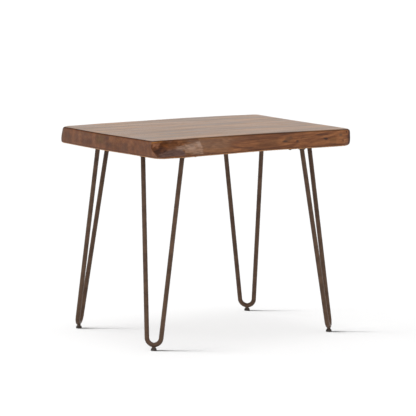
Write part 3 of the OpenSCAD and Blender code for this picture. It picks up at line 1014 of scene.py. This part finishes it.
def wood_grain(g):
    """The noises that make up the grain, most of them bent by a slow drift."""
    drift = g.noise(g.stretch(DRIFT_SCALE), output="Color")
    drift = g.vector("MULTIPLY", g.vector("SUBTRACT", drift, (0.5, 0.5, 0.5)), DRIFT)
    bent = g.vector("ADD", g.place, drift)
    return {
        "rings": growth_rings(g, bent),
        "fibre": g.noise(g.stretch(FIBRE_SCALE, bent), detail=3, roughness=0.65),
        "streak": g.noise(g.stretch(STREAK_SCALE, bent), detail=3, roughness=0.55),
        "broad": g.noise(g.stretch(BROAD_SCALE, bent), detail=3, roughness=0.6),
        "pores": g.band(g.noise(g.stretch(PORE_SCALE), detail=1), *PORE_BORDER),
    }


def facing(g):
    """Share of the surface that faces along X, either way, and the share that faces up."""
    normal = g.node("ShaderNodeSeparateXYZ")
    g.put(normal.inputs[0], g.node("ShaderNodeNewGeometry").outputs["Normal"])
    end = g.band(g.math("ABSOLUTE", normal.outputs[0]), *END_BORDER)
    top = g.band(normal.outputs[2], *TOP_BORDER)
    return end, top


def stain(g, grain, end, top):
    """Colour of the wood without its marks: the sides, then the ends, the top and the pores."""
    tone = g.total((grain["rings"], 0.38), (grain["fibre"], 0.34), (grain["streak"], 0.28))
    mottle = g.noise(g.stretch(MOTTLE_SCALE), detail=4, roughness=0.65)
    end_tone = g.total((grain["rings"], 0.25), (mottle, 0.75))
    colour = g.ramp(tone, SIDE_STAIN)
    colour = g.blend(g.math("MULTIPLY", end, END_STRENGTH), colour, g.ramp(end_tone, END_STAIN))
    top_colour = g.cloudy(g.ramp(tone, TOP_STAIN), grain["broad"], *TOP_CLOUDS)
    colour = g.blend(top, colour, top_colour)
    return g.blend(g.math("MULTIPLY", grain["pores"], PORE_STRENGTH), colour, PORE_STAIN)


def marked(g, colour):
    """A colour under the marks that are kept in the attribute tint, with borders broken up by a
    noise. Some marks are painted shadow, sheen and highlight.
    """
    tint = g.node("ShaderNodeAttribute", attribute_name="tint")
    mark_noise = g.noise(g.stretch(MARK_NOISE_SCALE), detail=3, roughness=0.6)
    patch = g.cloudy(tint.outputs["Color"], mark_noise, *MARK_CLOUDS)
    share = g.band(g.swayed(tint.outputs["Alpha"], mark_noise, 0.3), 0.05, 0.95)
    return g.blend(share, colour, patch)


def knotted(g, colour, fibre):
    """A colour under the hearts of the knots, whose borders fray along the fibres."""
    for s, z, size, longer, dark, strength in KNOTS:
        squeeze = (1 / longer, 1, 1)
        heart = tuple(c * k for c, k in zip(knot_place(s, z), squeeze))
        away = g.swayed(g.vector("DISTANCE", g.stretch(squeeze), heart), fibre, KNOT_FRAY)
        begins, ends = (part * size * MM for part in KNOT_FADES)
        colour = g.blend(g.band(away, begins, ends, strength, 0.0), colour, dark)
    return colour


def wood():
    g = Graph("stained_hardwood")
    grain = wood_grain(g)
    fibre, streak = grain["fibre"], grain["streak"]
    end, top = facing(g)
    colour = marked(g, stain(g, grain, end, top))
    g.set("Base Color", knotted(g, colour, fibre))
    sheen = g.band(g.total((fibre, 0.5), (streak, 0.5)), 0.35, 0.65, -GRAIN_ROUGH, GRAIN_ROUGH)
    rough = g.math("ADD", g.math("MULTIPLY_ADD", top, TOP_ROUGH - SIDE_ROUGH, SIDE_ROUGH), sheen)
    dull = g.node("ShaderNodeAttribute", attribute_name="dull").outputs["Fac"]
    g.set("Roughness", g.math("MULTIPLY_ADD", g.math("SUBTRACT", DULL_ROUGH, rough), dull, rough))
    g.set("IOR", WOOD_IOR)
    relief = g.total((fibre, 0.8), (grain["rings"], 0.6), (grain["pores"], -0.8))
    g.bump(relief, strength=0.35, distance=0.0004)
    return g.material


def worn_paint(name, dark, light, metallic, rough, grain):
    """Painted or plated metal: cloudy colour, uneven gloss and a fine orange-peel relief."""
    g = Graph(name)
    cloud = g.noise(g.stretch(CLOUD_SCALE), detail=4, roughness=0.6)
    speck = g.noise(g.stretch((grain, grain, grain)), roughness=0.6)
    tone = g.total((cloud, 0.6), (speck, 0.4))
    low, high = 0.35, 0.65
    g.set("Base Color", g.ramp(tone, [(low, dark), (high, light)]))
    g.set("Metallic", metallic)
    g.set("IOR", PAINT_IOR)
    g.set("Roughness", g.band(tone, low, high, rough + DULLER, rough - GLOSSIER))
    g.bump(speck, strength=0.25, distance=0.0003)
    return g.material


def moulded(name, dark, light):
    """Moulded plastic with a fine mottle, duller where it is paler."""
    g = Graph(name)
    mottle = g.noise(g.stretch(MOULD_SCALE), detail=3, roughness=0.6)
    low, high = 0.3, 0.7
    g.set("Base Color", g.ramp(mottle, [(low, dark), (high, light)]))
    g.set("Roughness", g.band(mottle, low, high, *PLASTIC_ROUGH))
    g.bump(mottle, strength=0.3, distance=0.0002)
    return g.material


WOOD = wood()
ROD_PAINT = worn_paint("bronzed_paint", (0.058, 0.031, 0.018), (0.122, 0.069, 0.041),
                       metallic=0.30, rough=0.45, grain=900)
SCREW_FINISH = worn_paint("blackened_screws", (0.035, 0.026, 0.020), (0.080, 0.058, 0.045),
                          metallic=0.55, rough=0.38, grain=1500)
STUD_FINISH = worn_paint("dull_zinc", (0.090, 0.070, 0.055), (0.200, 0.165, 0.135),
                         metallic=0.75, rough=0.38, grain=1800)
PAD_FINISH = moulded("moulded_pad", (0.022, 0.014, 0.010), (0.045, 0.030, 0.022))


def dress(piece, material, slot_name, body, *nodes):
    """Finish for a new piece, the body that it rides on and the CAD nodes that it stands for."""
    piece.data.materials.append(material)
    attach(piece, body)
    if nodes:
        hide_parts(*nodes)


def refinish(node, material):
    """Finish for a CAD node that stays in view."""
    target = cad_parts[node]
    if not target.material_slots:
        target.data.materials.append(material)
    for place in target.material_slots:
        place.material = material


dress(slab(), WOOD, "wood", "table", "tabletop")
for leg in CORNERS:
    refinish("plate_" + leg, ROD_PAINT)
    refinish("hairpin_" + leg, ROD_PAINT)
    refinish("screws_" + leg, SCREW_FINISH)
    dress(weld_beads(leg), ROD_PAINT, "leg_metal", "table")
    dress(foot_stud(leg), STUD_FINISH, "foot_metal", leg + "_stud", "stud_" + leg)
    dress(foot_pad(leg), PAD_FINISH, "foot_pad", leg + "_pad", "pad_" + leg)


# Floor, world, lamps and camera

# The floor: half its side in metres, and its mid grey, which lamps of its own bring to white. Then
# the strength of the world where it only lights.
FLOOR_HALF = 14.0
FLOOR_TONE = 0.250
SKY_LEVEL = 0.62


def floor():
    h = FLOOR_HALF
    piece = mesh_object("floor", [(-h, -h, 0), (h, -h, 0), (h, h, 0), (-h, h, 0)], [(0, 1, 2, 3)])
    g = Graph("floor_paper")
    g.set("Base Color", (FLOOR_TONE, FLOOR_TONE, FLOOR_TONE))
    g.set("Roughness", 1.0)
    g.set("Specular IOR Level", 0.0)
    piece.data.materials.append(g.material)
    return piece


def sky():
    """White where the camera and reflections see it, and a plain level of light otherwise."""
    world = bpy.data.worlds.new("studio")
    bpy.context.scene.world = world
    world.use_nodes = True
    tree = world.node_tree
    background = tree.nodes["Background"]
    background.inputs["Color"].default_value = (1, 1, 1, 1)
    path = tree.nodes.new("ShaderNodeLightPath")
    seen = path.outputs["Is Camera Ray"]
    for name in ("Is Glossy Ray", "Is Transmission Ray"):
        either = tree.nodes.new("ShaderNodeMath")
        either.operation = "MAXIMUM"
        tree.links.new(seen, either.inputs[0])
        tree.links.new(path.outputs[name], either.inputs[1])
        seen = either.outputs[0]
    level = tree.nodes.new("ShaderNodeMapRange")
    tree.links.new(seen, level.inputs["Value"])
    level.inputs["To Min"].default_value = SKY_LEVEL
    level.inputs["To Max"].default_value = 1.0
    tree.links.new(level.outputs[0], background.inputs["Strength"])


def direction(azimuth, elevation):
    """Direction at an azimuth from +X towards +Y and an elevation above the floor, in degrees."""
    a, e = math.radians(azimuth), math.radians(elevation)
    return Vector((math.cos(a) * math.cos(e), math.sin(a) * math.cos(e), math.sin(e)))


def sun(name, azimuth, elevation, share, spread, lights, shadows_of=None):
    """A sun for one collection, which gets this share of white where it faces the sun. It casts the
    shadows of everything, or of the one collection that is named. Angles are in degrees."""
    lamp = bpy.data.lights.new(name, "SUN")
    lamp.energy = share * math.pi
    lamp.angle = math.radians(spread)
    made = bpy.data.objects.new(name, lamp)
    made.rotation_euler = direction(azimuth, elevation).to_track_quat("Z", "Y").to_euler()
    made.light_linking.receiver_collection = lights
    if shadows_of:
        made.light_linking.blocker_collection = shadows_of
    bpy.context.scene.collection.objects.link(made)


def collection(name, pieces):
    made = bpy.data.collections.new(name)
    for piece in pieces:
        made.objects.link(piece)
    return made


def light(ground):
    """A lamp for the table, and three for the floor with the shadows of feet, legs and the whole."""
    floor_alone = collection("floor_alone", [ground])
    all_but_floor = collection("all_but_floor", [ground])
    all_but_floor.collection_objects[0].light_linking.link_state = "EXCLUDE"
    feet = [bpy.data.objects[kind + leg] for kind in ("foot_pad_", "foot_stud_") for leg in CORNERS]
    hairpins = [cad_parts["hairpin_" + leg] for leg in CORNERS]
    feet_alone = collection("feet_alone", feet)
    legs_alone = collection("legs_alone", feet + hairpins)
    sun("soft_key", 215, 60, share=0.40, spread=50, lights=all_but_floor)
    sun("foot_key", 146.5, 9, share=14.8, spread=11, lights=floor_alone, shadows_of=feet_alone)
    sun("leg_key", 146.5, 40, share=1.25, spread=36, lights=floor_alone, shadows_of=legs_alone)
    sun("floor_overhead", 147, 88, share=0.40, spread=26, lights=floor_alone)


# Camera in metres, degrees of roll, and millimetres of lens and sensor
CAMERA_AT = (-4.2471, -6.6185, 1.3860)
CAMERA_AIM = (-0.0384, -0.0806, 0.3498)
CAMERA_ROLL = 0.2
LENS = 252.1
SENSOR = 36.0


def place_camera():
    """The camera as it was fitted to the photograph."""
    lens = bpy.data.cameras.new("camera")
    lens.sensor_width = SENSOR
    lens.lens = LENS
    camera = bpy.data.objects.new("camera", lens)
    camera.location = CAMERA_AT
    aimed = (Vector(CAMERA_AIM) - Vector(CAMERA_AT)).to_track_quat("-Z", "Y")
    camera.rotation_euler = (aimed @ Quaternion((0, 0, 1), math.radians(CAMERA_ROLL))).to_euler()
    bpy.context.scene.collection.objects.link(camera)
    bpy.context.scene.camera = camera


sky()
light(floor())
place_camera()
bpy.context.scene.view_settings.view_transform = "Standard"
